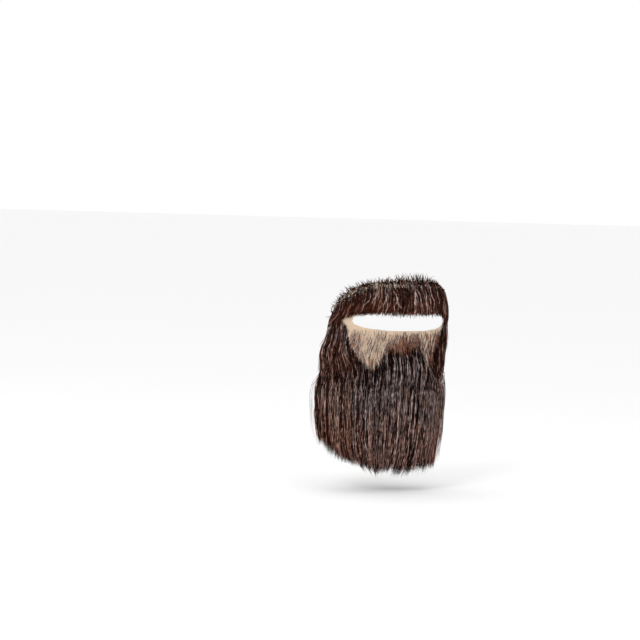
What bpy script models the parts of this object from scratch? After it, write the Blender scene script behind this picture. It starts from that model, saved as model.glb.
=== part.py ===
"""Fake goatee: a moustache, two sides, a lip patch and a chin beard of tied hair on a base of lace.

Metres, +Z up. The front faces -Y and X = 0 is the mirror plane. The origin is the point of the wearer's
chin, on the skin side of the lace. The beard has the shape that it has when it is worn.

The lace is described by two flat coordinates, as on its cutting pattern: across, the distance from the
midline round the face, and down, the distance along the midline from under the nose.
"""

import math
from collections import namedtuple

import bmesh
import bpy
import numpy as np

MM = 0.001

# Sizes of the lace and of the hair on it
LACE_THICKNESS = 1.0 * MM
GAP = 0.4 * MM
BACKING_THICKNESS = 1.8 * MM
HAIR_START = LACE_THICKNESS + GAP

# The midline of the skin side, from the nose down and back under the chin. wrap is the radius of the
# curve round the face there, and tilt turns that curve up towards the ears. Millimetres and degrees.
FaceRow = namedtuple("FaceRow", "place y z wrap tilt")
FACE = (
    FaceRow("nose", -3.0, 72.0, 50.0, 0.0),
    FaceRow("under_nose", -4.0, 58.0, 49.0, 0.0),
    FaceRow("upper_lip", -7.0, 44.0, 47.0, 0.0),
    FaceRow("lip_gap", -7.0, 33.0, 46.0, 0.0),
    FaceRow("lower_lip", -4.5, 24.0, 45.5, 0.0),
    FaceRow("lip_fold", 1.0, 13.0, 45.5, 0.0),
    FaceRow("chin_point", 0.0, 0.0, 44.0, 0.0),
    FaceRow("chin_turn", 3.5, -9.0, 43.0, 12.0),
    FaceRow("chin_base", 11.0, -14.5, 42.0, 28.0),
    FaceRow("under_chin", 29.0, -16.0, 44.0, 45.0),
    FaceRow("throat", 46.0, -15.0, 46.0, 50.0),
)

# The lace's outer edge and the mouth opening are superellipses on the cutting pattern
EDGE_HALF_WIDTH = 52.0 * MM
EDGE_MIDDLE = 45.0 * MM
EDGE_UP = 45.0 * MM
EDGE_DOWN = 50.0 * MM
EDGE_TOP_POWER = 3.0
EDGE_BOTTOM_POWER = 2.6
MOUTH_HALF_WIDTH = 36.0 * MM
MOUTH_MIDDLE = 25.3 * MM
MOUTH_HALF_HEIGHT = 5.8 * MM
MOUTH_POWER = 2.5
MOUTH_SIDES = 40
LACE_LINES = 27
LACE_ROWS = 17
LACE_SIDE_SHARE = 0.985
HAIR_MARGIN = 1.0 * MM

# Where one hair piece ends and the next begins, as distances down the pattern
MOUSTACHE_END = 20.5 * MM
MOUSTACHE_TIP = 22.0 * MM
SIDE_START = 21.4 * MM
SIDE_END = 58.0 * MM
SIDE_INNER_TOP = 37.5 * MM
SIDE_INNER_BOTTOM = 20.0 * MM
SIDE_TAPER_START = 38.0 * MM
PATCH_HALF_WIDTH = 7.0 * MM
PATCH_START = 36.5 * MM
PATCH_END = 52.0 * MM
CHIN_START_MIDDLE = 52.7 * MM
CHIN_START_SIDE = 58.7 * MM
CHIN_DIP = 16.0 * MM

# Horizontal sections of the hair that hangs from the chin: its half width, and its foremost, widest
# and rearmost place. Millimetres.
HangRow = namedtuple("HangRow", "z half_width front middle back")
HANG = (
    HangRow(-64.0, 25.0, 6.0, 20.5, 27.0),
    HangRow(-58.0, 35.0, 0.5, 22.5, 32.5),
    HangRow(-50.0, 40.5, -2.2, 25.5, 36.5),
    HangRow(-40.0, 43.0, -3.8, 27.5, 38.0),
    HangRow(-28.0, 43.8, -4.4, 29.0, 38.0),
    HangRow(-14.0, 44.4, -5.0, 29.0, 36.5),
    HangRow(2.0, 43.8, -5.5, 28.0, 36.0),
)

# Rows of locks that hang from the chin. spread is the angle from the midline to the outermost lock,
# seen from above. The tips end higher at the sides than in the middle. Degrees and millimetres.
HangLocks = namedtuple("HangLocks", "face count spread top tip_middle tip_side width depth")
CHIN_LOCKS = (
    HangLocks("front", 17, 88.0, 0.0, -62.0, -46.5, 10.5, 8.0),
    HangLocks("back", 11, 76.0, -12.0, -52.0, -44.0, 11.5, 9.0),
)
TIP_ROUNDNESS = 4
HANG_SWELL = np.array([0.50, 0.92, 1.0, 1.0, 0.95, 0.78, 0.22])
FRONT_LOCKS_REACH = 0.93 * EDGE_HALF_WIDTH
FRONT_LOCKS_OUT = 4.0 * MM
LEAVES_LACE_AT = 2.0 * MM
HANGS_FREE_BELOW = -14.0 * MM
CORE_TOP = -4.0 * MM
CORE_END = -54.0 * MM
CORE_INSET = 3.2 * MM

# Locks that lie on the lace. out is the distance of their middle from the pad's inner side, and blunt
# the share of the width that is left at their ends. Millimetres.
SurfaceLocks = namedtuple("SurfaceLocks", "count stations out width depth blunt")
MOUSTACHE_LOCKS = SurfaceLocks(17, 4, 1.7, 7.4, 4.4, 0.5)
SIDE_LOCKS = SurfaceLocks(4, 5, 1.9, 8.0, 5.6, 0.6)
PATCH_LOCKS = SurfaceLocks(3, 4, 1.6, 5.0, 3.6, 0.35)
MOUSTACHE_HALF_WIDTH = 46.0 * MM
MOUSTACHE_ROOTS = 41.0 * MM
MOUSTACHE_TIPS = 44.5 * MM
SIDE_ROOTS = (39.5 * MM, 47.3 * MM)
SIDE_TIPS = (25.0 * MM, 49.6 * MM)
PATCH_TIPS = 4.4 * MM
LOCK_SIDES = 6
LOCK_MARGIN = 0.1 * MM

# The block in the form of the face, which the hair is cut clear of, and the mouth's cutter
WEARER_HALF_WIDTH = 62.0 * MM
WEARER_BACK = 90.0 * MM
WEARER_LINES = 27
WEARER_ROWS = 31
MOUTH_CUTTER_REACH = 40.0 * MM


def smooth(knots, values, at):
    """The row of values at each place, on a cubic curve through the rows at the knots."""
    slopes = np.gradient(values, knots, axis=0)
    at = np.clip(np.asarray(at, float), knots[0], knots[-1])
    i = np.clip(np.searchsorted(knots, at, side="right") - 1, 0, len(knots) - 2)
    span = (knots[i + 1] - knots[i])[..., None]
    u = (at - knots[i])[..., None] / span
    start = (1 + 2 * u) * (1 - u) ** 2 * values[i] + u * (1 - u) ** 2 * span * slopes[i]
    end = u**2 * (3 - 2 * u) * values[i + 1] + u**2 * (u - 1) * span * slopes[i + 1]
    return start + end


def face_table():
    """The distance down the midline at each row of FACE, and its columns in metres and radians."""
    columns = np.array([[r.y * MM, r.z * MM, r.wrap * MM, math.radians(r.tilt)] for r in FACE])
    steps = np.linalg.norm(np.diff(columns[:, :2], axis=0), axis=1)
    places = np.concatenate([[0.0], np.cumsum(steps)])
    start = [r.place for r in FACE].index("under_nose")
    return places - places[start], columns


FACE_DOWN, FACE_COLUMNS = face_table()
HANG_Z = np.array([r.z for r in HANG]) * MM
HANG_COLUMNS = np.array([r[1:] for r in HANG]) * MM


def skin_points(across, down):
    """Points on the skin side of the lace."""
    across, down = np.broadcast_arrays(np.asarray(across, float), np.asarray(down, float))
    y, z, wrap, tilt = np.moveaxis(smooth(FACE_DOWN, FACE_COLUMNS, down), -1, 0)
    turn = across / wrap
    recess = wrap * (1 - np.cos(turn))
    return np.stack([wrap * np.sin(turn), y + recess * np.cos(tilt), z + recess * np.sin(tilt)], -1)


def skin_normals(across, down):
    """The directions straight out of the skin side, away from the wearer."""
    step = 0.05 * MM
    sideways = skin_points(across + step, down) - skin_points(across - step, down)
    downwards = skin_points(across, down + step) - skin_points(across, down - step)
    normals = np.cross(downwards, sideways)
    return normals / np.linalg.norm(normals, axis=-1, keepdims=True)


def face_points(across, down, out=0.0):
    """Points at a distance out of the skin side."""
    return skin_points(across, down) + out * skin_normals(across, down)


def down_at_height(z):
    """How far down the midline a height is. A height below the turn of the chin gives the turn."""
    last = [r.place for r in FACE].index("chin_turn") + 1
    return np.interp(-z, -FACE_COLUMNS[:last, 1], FACE_DOWN[:last])


def superellipse(angle, half_width, half_height, power):
    """A point of a superellipse round the origin."""
    c, s = math.cos(angle), math.sin(angle)
    return (
        half_width * math.copysign(abs(c) ** (2 / power), c),
        half_height * math.copysign(abs(s) ** (2 / power), s),
    )


def rise(part, whole, power):
    """The share of a superellipse's height that is left at a share of its width."""
    return max(0.0, 1 - (abs(part) / whole) ** power) ** (1 / power)


def edge_top(across):
    return EDGE_MIDDLE - EDGE_UP * rise(across, EDGE_HALF_WIDTH, EDGE_TOP_POWER)


def edge_bottom(across):
    return EDGE_MIDDLE + EDGE_DOWN * rise(across, EDGE_HALF_WIDTH, EDGE_BOTTOM_POWER)


def edge_side(down):
    if down > EDGE_MIDDLE:
        return EDGE_HALF_WIDTH * rise(down - EDGE_MIDDLE, EDGE_DOWN, EDGE_BOTTOM_POWER)
    return EDGE_HALF_WIDTH * rise(down - EDGE_MIDDLE, EDGE_UP, EDGE_TOP_POWER)


def mouth_top(across):
    return MOUTH_MIDDLE - MOUTH_HALF_HEIGHT * rise(across, MOUTH_HALF_WIDTH, MOUTH_POWER)


def hang_point(angle, z, face="front", inset=0.0):
    """A point on the outline of the hanging hair, at an angle from the midline seen from above."""
    half_width, front, middle, back = smooth(HANG_Z, HANG_COLUMNS, z)
    reach = (front - middle) if face == "front" else (back - middle)
    towards = math.copysign(1.0, reach)
    x = max(half_width - inset, 0.0) * math.sin(angle)
    y = middle + towards * max(abs(reach) - inset, 0.0) * math.cos(angle)
    return np.array([x, y, z])


def new_object(name, points, faces, material, helper=False):
    """An object made of points and faces, with its normals facing out."""
    mesh = bpy.data.meshes.new(name)
    mesh.from_pydata([tuple(p) for p in points], [], faces)
    work = bmesh.new()
    work.from_mesh(mesh)
    bmesh.ops.recalc_face_normals(work, faces=work.faces)
    work.to_mesh(mesh)
    work.free()
    mesh.shade_smooth()
    mesh.set_sharp_from_angle(angle=math.radians(50))
    obj = bpy.data.objects.new(name, mesh)
    if material is not None:
        mesh.materials.append(material)
    collection_named("cutters" if helper else "goatee").objects.link(obj)
    if helper:
        obj.hide_render = True
        obj.display_type = "WIRE"
    return obj


def collection_named(name):
    found = bpy.data.collections.get(name)
    if found is None:
        found = bpy.data.collections.new(name)
        bpy.context.scene.collection.children.link(found)
    return found


def plain_material(name, colour, roughness):
    made = bpy.data.materials.new(name)
    made.use_nodes = True
    shader = made.node_tree.nodes["Principled BSDF"]
    shader.inputs["Base Color"].default_value = (*colour, 1.0)
    shader.inputs["Roughness"].default_value = roughness
    shader.inputs["Metallic"].default_value = 0.0
    return made


def grid_faces(rows, columns, closed=False):
    """Four-sided faces of a grid of points that is stored row by row."""
    faces = []
    for row in range(0, (rows - 1) * columns, columns):
        for c in range(columns if closed else columns - 1):
            beside = (c + 1) % columns
            faces.append((row + c, row + beside, row + columns + beside, row + columns + c))
    return faces


def curved_sheet(name, spans, columns, out, thickness, material=None):
    """A sheet that follows the lace. spans holds, for each line of it, its two ends on the pattern."""
    shares = np.linspace(0.0, 1.0, columns)[:, None]
    flat = np.concatenate([np.add(start, np.subtract(end, start) * shares) for start, end in spans])
    points = face_points(flat[:, 0], flat[:, 1], out)
    sheet = new_object(name, points, grid_faces(len(spans), columns), material)
    point_outwards(sheet.data, skin_normals(*flat[0]))
    solidify = sheet.modifiers.new("thickness", "SOLIDIFY")
    solidify.thickness = thickness
    solidify.offset = 1.0
    solidify.use_even_offset = True
    return sheet


def point_outwards(mesh, outward):
    """Turns a sheet's faces over where they point at the wearer."""
    if np.dot(mesh.polygons[0].normal, outward) < 0:
        mesh.flip_normals()


def lace_base(material):
    """The lace: a curved sheet with an opening for the mouth."""
    half = LACE_SIDE_SHARE * EDGE_HALF_WIDTH
    spans = [
        ((across, edge_top(across)), (across, edge_bottom(across)))
        for across in np.linspace(-half, half, LACE_LINES)
    ]
    sheet = curved_sheet("lace_base", spans, LACE_ROWS, 0.0, LACE_THICKNESS, material)
    boolean(sheet, mouth_cutter(), "DIFFERENCE")


def mouth_cutter():
    """The mouth opening, straight through the lace from front to back."""
    half_width = skin_points(MOUTH_HALF_WIDTH, MOUTH_MIDDLE)[0]
    middle = skin_points(0.0, MOUTH_MIDDLE)[2]
    rings = []
    for y in (-MOUTH_CUTTER_REACH, MOUTH_CUTTER_REACH):
        ring = []
        for k in range(MOUTH_SIDES):
            x, z = superellipse(2 * math.pi * k / MOUTH_SIDES, half_width, MOUTH_HALF_HEIGHT, MOUTH_POWER)
            ring.append((x, y, middle + z))
        rings.append(np.array(ring))
    return new_object("mouth", *loft(rings), None, helper=True)


def loft(rings):
    """Points and faces of a closed solid through rings of points, capped at both ends."""
    columns = len(rings[0])
    faces = grid_faces(len(rings), columns, closed=True)
    faces.append(tuple(range(columns))[::-1])
    faces.append(tuple((len(rings) - 1) * columns + c for c in range(columns)))
    return np.concatenate(rings), faces


def lock(path, outward, widths, depths):
    """A lock of hair: a flattened tapering solid along a path. outward points out of the beard."""
    path = np.array(path)
    along = np.gradient(path, axis=0)
    along /= np.linalg.norm(along, axis=1, keepdims=True)
    rings = []
    for centre, tangent, out, width, depth in zip(path, along, outward, widths, depths):
        side = np.cross(tangent, out)
        side /= np.linalg.norm(side)
        front = np.cross(side, tangent)
        ring = [
            centre + side * width / 2 * math.cos(a) + front * depth / 2 * math.sin(a)
            for a in (2 * math.pi * k / LOCK_SIDES for k in range(LOCK_SIDES))
        ]
        rings.append(np.array(ring))
    return loft(rings)


def surface_lock(row, start, end):
    """A lock that follows the lace from one place of the pattern to another."""
    shares = np.linspace(0.0, 1.0, row.stations)
    across = start[0] + (end[0] - start[0]) * shares
    down = start[1] + (end[1] - start[1]) * shares
    swell = row.blunt + (1 - row.blunt) * np.sin(math.pi * (0.15 + 0.75 * shares))
    path = face_points(across, down, HAIR_START + row.out * MM)
    return lock(path, skin_normals(across, down), row.width * MM * swell, row.depth * MM * swell)


def pad(name, spans, columns):
    """The thin backing that a hair piece's locks stand on."""
    return curved_sheet(name, spans, columns, HAIR_START, BACKING_THICKNESS)


def hanging_lock(row, angle):
    """A lock of the chin beard: it leaves the lace, turns down and hangs to its tip."""
    side = abs(math.sin(angle)) ** TIP_ROUNDNESS
    tip = (row.tip_middle + (row.tip_side - row.tip_middle) * side) * MM
    facing = -1.0 if row.face == "front" else 1.0
    outward = np.array([math.sin(angle), facing * math.cos(angle), 0.0])
    across = FRONT_LOCKS_REACH * angle / math.radians(row.spread)
    path = []
    for z in np.linspace(row.top * MM, tip, len(HANG_SWELL)):
        point = hang_point(angle, z, row.face, 0.42 * row.depth * MM)
        if row.face == "front":
            on_lace = face_points(across, down_at_height(z), FRONT_LOCKS_OUT)
            free = np.clip((LEAVES_LACE_AT - z) / (LEAVES_LACE_AT - HANGS_FREE_BELOW), 0.0, 1.0)
            point[:2] = on_lace[:2] + (point[:2] - on_lace[:2]) * free
        path.append(point)
    sizes = HANG_SWELL * MM
    return lock(path, [outward] * len(path), row.width * sizes, row.depth * sizes)


def joined(name, solids):
    """One helper object that holds several solids, still loose."""
    points, faces, start = [], [], 0
    for solid_points, solid_faces in solids:
        points.append(solid_points)
        faces += [tuple(i + start for i in f) for f in solid_faces]
        start += len(solid_points)
    return new_object(name, np.concatenate(points), faces, None, helper=True)


def boolean(obj, other, operation):
    modifier = obj.modifiers.new(operation.lower(), "BOOLEAN")
    modifier.operation = operation
    modifier.solver = "EXACT"
    modifier.use_self = operation == "UNION"
    modifier.object = other


def shells_of(work):
    """The faces of a mesh, sorted into connected shells."""
    left, shells = set(work.faces), []
    while left:
        shell, edge = set(), {left.pop()}
        while edge:
            shell |= edge
            edge = {f for face in edge for e in face.edges for f in e.link_faces} - shell
        left -= shell
        shells.append(shell)
    return shells


def signed_volume(shell):
    """Above zero for an outer shell, and below zero for the wall of a sealed hollow."""
    total = 0.0
    for face in shell:
        corners = [v.co for v in face.verts]
        for second, third in zip(corners[1:], corners[2:]):
            total += corners[0].dot(second.cross(third)) / 6
    return total


def fused(obj, locks, material, wearer):
    """The backing and its locks as one solid, kept clear of the lace, with no sealed hollows."""
    boolean(obj, joined(obj.name + "_locks", locks), "UNION")
    boolean(obj, wearer, "DIFFERENCE")
    bpy.context.view_layer.update()
    graph = bpy.context.evaluated_depsgraph_get()
    mesh = bpy.data.meshes.new_from_object(obj.evaluated_get(graph))
    work = bmesh.new()
    work.from_mesh(mesh)
    hollows = [f for shell in shells_of(work) if signed_volume(shell) < 0 for f in shell]
    bmesh.ops.delete(work, geom=hollows, context="FACES")
    work.to_mesh(mesh)
    work.free()
    obj.modifiers.clear()
    obj.data = mesh
    mesh.materials.clear()
    mesh.materials.append(material)


def wearer_cutter():
    """What the hair keeps clear of: the wearer's face, grown by the lace and a small gap."""
    lines = np.linspace(-WEARER_HALF_WIDTH, WEARER_HALF_WIDTH, WEARER_LINES)
    rows = np.linspace(FACE_DOWN[0], FACE_DOWN[-1], WEARER_ROWS)
    flat = np.array([(across, down) for across in lines for down in rows])
    points = face_points(flat[:, 0], flat[:, 1], HAIR_START)
    cutter = new_object("wearer", points, grid_faces(WEARER_LINES, WEARER_ROWS), None, helper=True)
    work = bmesh.new()
    work.from_mesh(cutter.data)
    grown = bmesh.ops.extrude_face_region(work, geom=work.faces[:], use_keep_orig=True)
    for item in grown["geom"]:
        if isinstance(item, bmesh.types.BMVert):
            item.co.y = WEARER_BACK
    bmesh.ops.recalc_face_normals(work, faces=work.faces)
    work.to_mesh(cutter.data)
    work.free()
    return cutter


def moustache(material, wearer):
    """Hair on the upper lip. Its tips hang a little over the mouth opening."""
    spans = []
    for across in np.linspace(-MOUSTACHE_HALF_WIDTH, MOUSTACHE_HALF_WIDTH, 19):
        end = min(MOUSTACHE_END, mouth_top(across) - HAIR_MARGIN)
        spans.append(((across, edge_top(across) + HAIR_MARGIN), (across, end)))
    locks = []
    for share in np.linspace(-1.0, 1.0, MOUSTACHE_LOCKS.count):
        root, tip = MOUSTACHE_ROOTS * share, MOUSTACHE_TIPS * share
        over_mouth = abs(tip) < 0.9 * MOUTH_HALF_WIDTH
        end = MOUSTACHE_TIP if over_mouth else MOUSTACHE_END - HAIR_MARGIN
        start = edge_top(root) + 2 * HAIR_MARGIN
        locks.append(surface_lock(MOUSTACHE_LOCKS, (root, start), (tip, end)))
    fused(pad("moustache_hair", spans, 5), locks, material, wearer)


def side(name, sign, material, wearer):
    """Hair between a corner of the moustache and the chin, on one side of the mouth."""
    spans = []
    for down in np.linspace(SIDE_START, SIDE_END, 9):
        taper = max(0.0, (down - SIDE_TAPER_START) / (SIDE_END - SIDE_TAPER_START))
        inner = SIDE_INNER_TOP + (SIDE_INNER_BOTTOM - SIDE_INNER_TOP) * taper
        spans.append(((sign * inner, down), (sign * (edge_side(down) - HAIR_MARGIN), down)))
    roots = np.linspace(*SIDE_ROOTS, SIDE_LOCKS.count)
    tips = np.linspace(*SIDE_TIPS, SIDE_LOCKS.count)
    top, end = SIDE_START + LOCK_MARGIN, SIDE_END - LOCK_MARGIN
    locks = [
        surface_lock(SIDE_LOCKS, (sign * root, top), (sign * tip, end)) for root, tip in zip(roots, tips)
    ]
    fused(pad(name, spans, 4), locks, material, wearer)


def lip_patch(material, wearer):
    """The narrow tuft under the middle of the lower lip."""
    spans = []
    for down in np.linspace(PATCH_START, PATCH_END, 5):
        spans.append(((-PATCH_HALF_WIDTH, down), (PATCH_HALF_WIDTH, down)))
    locks = [
        surface_lock(PATCH_LOCKS, (across, PATCH_START + HAIR_MARGIN / 2), (across, PATCH_END - LOCK_MARGIN))
        for across in np.linspace(-PATCH_TIPS, PATCH_TIPS, PATCH_LOCKS.count)
    ]
    fused(pad("lip_patch_hair", spans, 4), locks, material, wearer)


def hanging_core():
    """The mass of the hanging hair behind its outer locks."""
    rings = []
    for z in np.linspace(CORE_TOP, CORE_END, 6):
        ring = []
        for angle in np.linspace(0.0, 2 * math.pi, 16, endpoint=False):
            face = "front" if math.cos(angle) > 0 else "back"
            ring.append(hang_point(math.asin(math.sin(angle)), z, face, CORE_INSET))
        rings.append(np.array(ring))
    return loft(rings)


def chin_beard(material, wearer):
    """Hair round the chin, which hangs below it in a broad brush with a rounded end."""
    half = LACE_SIDE_SHARE * EDGE_HALF_WIDTH - 2 * HAIR_MARGIN
    spans = []
    for across in np.linspace(-half, half, 23):
        dip = np.clip((abs(across) - PATCH_HALF_WIDTH) / (CHIN_DIP - PATCH_HALF_WIDTH), 0.0, 1.0)
        start = CHIN_START_MIDDLE + (CHIN_START_SIDE - CHIN_START_MIDDLE) * dip
        spans.append(((across, start), (across, edge_bottom(across) - HAIR_MARGIN)))
    solids = [hanging_core()]
    for row in CHIN_LOCKS:
        for angle in np.radians(np.linspace(-row.spread, row.spread, row.count)):
            solids.append(hanging_lock(row, angle))
    fused(pad("chin_beard_hair", spans, 11), solids, material, wearer)


def main():
    for obj in list(bpy.data.objects):
        bpy.data.objects.remove(obj)
    lace = plain_material("lace_net", (0.62, 0.48, 0.33), 0.8)
    wearer = wearer_cutter()
    lace_base(lace)
    moustache(plain_material("moustache_brown", (0.050, 0.022, 0.016), 0.5), wearer)
    side("side_hair_right", -1, plain_material("right_side_brown", (0.055, 0.026, 0.018), 0.5), wearer)
    side("side_hair_left", 1, plain_material("left_side_brown", (0.055, 0.026, 0.018), 0.5), wearer)
    lip_patch(plain_material("lip_patch_brown", (0.090, 0.048, 0.034), 0.5), wearer)
    chin_beard(plain_material("chin_brown", (0.052, 0.026, 0.020), 0.5), wearer)


main()
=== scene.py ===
import math
from collections import namedtuple

import bpy
import numpy as np
from mathutils import Matrix, Vector


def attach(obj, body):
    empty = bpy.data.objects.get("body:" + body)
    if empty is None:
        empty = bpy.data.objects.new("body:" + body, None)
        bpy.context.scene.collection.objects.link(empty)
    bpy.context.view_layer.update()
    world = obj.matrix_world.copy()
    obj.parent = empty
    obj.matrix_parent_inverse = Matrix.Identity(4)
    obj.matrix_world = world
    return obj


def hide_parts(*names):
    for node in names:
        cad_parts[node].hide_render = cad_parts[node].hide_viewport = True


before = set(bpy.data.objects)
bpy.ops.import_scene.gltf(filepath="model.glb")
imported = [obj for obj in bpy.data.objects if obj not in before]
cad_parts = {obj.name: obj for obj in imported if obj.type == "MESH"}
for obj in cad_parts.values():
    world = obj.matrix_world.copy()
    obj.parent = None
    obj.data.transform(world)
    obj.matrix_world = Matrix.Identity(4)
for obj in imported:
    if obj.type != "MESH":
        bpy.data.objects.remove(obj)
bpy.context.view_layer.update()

MM = 0.001
rng = np.random.default_rng(7)

# The skin side of the lace down its midline, as in the CAD. wrap is the radius of the curve round the
# face, and tilt turns that curve up towards the ears. Millimetres and degrees.
FaceRow = namedtuple("FaceRow", "place y z wrap tilt")
FACE = (
    FaceRow("nose", -3.0, 72.0, 50.0, 0.0),
    FaceRow("under_nose", -4.0, 58.0, 49.0, 0.0),
    FaceRow("upper_lip", -7.0, 44.0, 47.0, 0.0),
    FaceRow("lip_gap", -7.0, 33.0, 46.0, 0.0),
    FaceRow("lower_lip", -4.5, 24.0, 45.5, 0.0),
    FaceRow("lip_fold", 1.0, 13.0, 45.5, 0.0),
    FaceRow("chin_point", 0.0, 0.0, 44.0, 0.0),
    FaceRow("chin_turn", 3.5, -9.0, 43.0, 12.0),
    FaceRow("chin_base", 11.0, -14.5, 42.0, 28.0),
    FaceRow("under_chin", 29.0, -16.0, 44.0, 45.0),
    FaceRow("throat", 46.0, -15.0, 46.0, 50.0),
)

# The lace's outer edge and its mouth opening, on its flat pattern: across from the midline, and down
# from under the nose
EDGE_HALF_WIDTH = 52.0 * MM
EDGE_MIDDLE = 45.0 * MM
EDGE_UP = 45.0 * MM
EDGE_DOWN = 50.0 * MM
EDGE_TOP_POWER = 3.0
EDGE_BOTTOM_POWER = 2.6
EDGE_STRAIGHT = 51.2 * MM
MOUTH_HALF_WIDTH = 36.0 * MM
MOUTH_MIDDLE = 25.3 * MM
MOUTH_HALF_HEIGHT = 5.8 * MM
MOUTH_POWER = 2.5

# The outline of the hanging hair at a height: half width, and foremost, widest and rearmost place
HangRow = namedtuple("HangRow", "z half_width front middle back")
HANG = (
    HangRow(-64.0, 25.0, 6.0, 20.5, 27.0),
    HangRow(-58.0, 35.0, 0.5, 22.5, 32.5),
    HangRow(-50.0, 40.5, -2.2, 25.5, 36.5),
    HangRow(-40.0, 43.0, -3.8, 27.5, 38.0),
    HangRow(-28.0, 43.8, -4.4, 29.0, 38.0),
    HangRow(-14.0, 44.4, -5.0, 29.0, 36.5),
    HangRow(2.0, 43.8, -5.5, 28.0, 36.0),
)

# The photograph's view: the side that the camera stands to, its height, its roll, and where the chin
# point falls in the 640 pixel frame
VIEW_AZIMUTH = -32.0
VIEW_ELEVATION = 4.8
VIEW_ROLL = 2.5
VIEW_DISTANCE = 1.6
VIEW_PIXELS = 640
CHIN_PIXEL = (401.0, 373.6)
PIXEL_SIZE = 0.622 * MM
SENSOR_WIDTH = 36.0

# The floor lies a little under the hair's tips
FLOOR = -75.0 * MM
FLOOR_HALF_WIDTH = 6.0

# Lamps, placed from the chin in metres: towards the camera, to its right and up
LampRow = namedtuple("LampRow", "name near right up size power")
LAMPS = (
    LampRow("key", 0.8, -0.35, 0.45, 0.3, 3.5),
    LampRow("fill", 0.9, 0.6, 0.15, 0.4, 1.2),
)
LAMP_AIM = (0.0, 0.01, -0.005)

# Each hair is a tube of few sides, and its shade is one of a number of strips on the map for baking. At
# its tip it keeps this share of its width, and its front faces away from this place behind the chin.
SHADES = 64
STRAND_SIDES = 3
TIP_WIDTH = 0.12
HAIR_MIDDLE = 25.0 * MM

# Layers of hair: how many hairs, how many points along each, the size of their waves, the range of
# their thickness, the share of light hairs, the share of warm ones, how light the dark ones get, and
# where they are rooted: across from the midline, and down from under the nose. LIP_LOW is the lowest
# root of the upper lip's hair. The light hairs are partly painted sheen, and the top layers have more
# of them. Where no share of warm hairs is given, they are more towards the sides, and the cooler
# greyer hairs in the middle are painted sheen. Sizes in millimetres.
LayerRow = namedtuple("LayerRow", "name count stations wave thickness light warm dark_top across down")
FULL_WIDTH = (-50.0, 50.0)
LIP_LOW = 21.0

LAYERS = (
    LayerRow("moustache_deep", 1900, 5, 0.15, (0.28, 0.42), 0.03, 0.85, 0.42, FULL_WIDTH, (0.5, LIP_LOW)),
    LayerRow("moustache_top", 2000, 8, 0.25, (0.20, 0.36), 0.20, 0.85, 0.50, FULL_WIDTH, (0.5, LIP_LOW)),
    LayerRow("moustache_spike", 700, 4, 0.0, (0.22, 0.38), 0.02, 0.90, 0.50, FULL_WIDTH, (0.5, 26.0)),
    LayerRow("moustache_stray", 15, 12, 0.50, (0.26, 0.38), 1.0, 0.0, 0.0, (-30.0, 30.0), (1.0, 9.0)),
    LayerRow("side_deep", 1100, 6, 0.15, (0.30, 0.44), 0.03, 0.75, 0.40, (15.0, 52.0), (21.2, 60.0)),
    LayerRow("side_top", 850, 12, 0.30, (0.24, 0.40), 0.20, 0.65, 0.42, (15.0, 52.0), (21.2, 60.0)),
    LayerRow("chin_deep", 1800, 7, 0.15, (0.36, 0.52), 0.01, 0.30, 0.30, FULL_WIDTH, (48.0, 78.0)),
    LayerRow("chin_front", 1300, 12, 0.26, (0.26, 0.42), 0.03, None, 0.22, FULL_WIDTH, (36.0, 70.0)),
    LayerRow("chin_pale_and_sheen", 350, 22, 0.34, (0.40, 0.54), 1.0, None, 0.42, FULL_WIDTH, (36.0, 70.0)),
    LayerRow("chin_stray", 240, 12, 0.40, (0.14, 0.24), 0.45, 0.70, 0.42, FULL_WIDTH, (48.0, 70.0)),
    LayerRow("chin_back", 2400, 8, 0.20, (0.32, 0.48), 0.10, 0.50, 0.42, FULL_WIDTH, (72.0, 95.0)),
    LayerRow("chin_inner", 1300, 4, 0.0, (0.40, 0.56), 0.02, 0.40, 0.42, (-42.0, 42.0), (66.0, 92.0)),
)

# Layers of short thin hairs: how many hairs, how many points along each, and the ranges of their length,
# of how far they rise off the lace, of their thickness, of their shade and of their roots. Millimetres.
ShortRow = namedtuple("ShortRow", "name count stations length rise thickness shade across down")
SHORT_LAYERS = (
    ShortRow("patch", 520, 6, (7, 14), (1.4, 4.6), (0.20, 0.34), (0.25, 1.0), (-12.0, 12.0), (31.5, 56.0)),
    ShortRow("sparse", 1650, 5, (3, 7), (0.3, 1.8), (0.17, 0.28), (0.0, 0.9), (-40.0, 40.0), (31.0, 62.0)),
)


def smooth(knots, values, at):
    """The row of values at each place, on a cubic curve through the rows at the knots."""
    slopes = np.gradient(values, knots, axis=0)
    at = np.clip(np.asarray(at, float), knots[0], knots[-1])
    low = np.clip(np.searchsorted(knots, at, side="right") - 1, 0, len(knots) - 2)
    high = low + 1
    span = (knots[high] - knots[low])[..., None]
    part = (at - knots[low])[..., None] / span
    start = (1 + 2 * part) * (1 - part) ** 2 * values[low] + part * (1 - part) ** 2 * span * slopes[low]
    end = part**2 * (3 - 2 * part) * values[high] + part**2 * (part - 1) * span * slopes[high]
    return start + end


def face_table():
    """The distance down the midline at each row of FACE, and its columns in metres and radians."""
    columns = np.array([[r.y * MM, r.z * MM, r.wrap * MM, math.radians(r.tilt)] for r in FACE])
    steps = np.linalg.norm(np.diff(columns[:, :2], axis=0), axis=1)
    places = np.concatenate([[0.0], np.cumsum(steps)])
    start = [r.place for r in FACE].index("under_nose")
    return places - places[start], columns


FACE_DOWN, FACE_COLUMNS = face_table()
HANG_Z = np.array([r.z for r in HANG]) * MM
HANG_COLUMNS = np.array([r[1:] for r in HANG]) * MM


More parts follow.
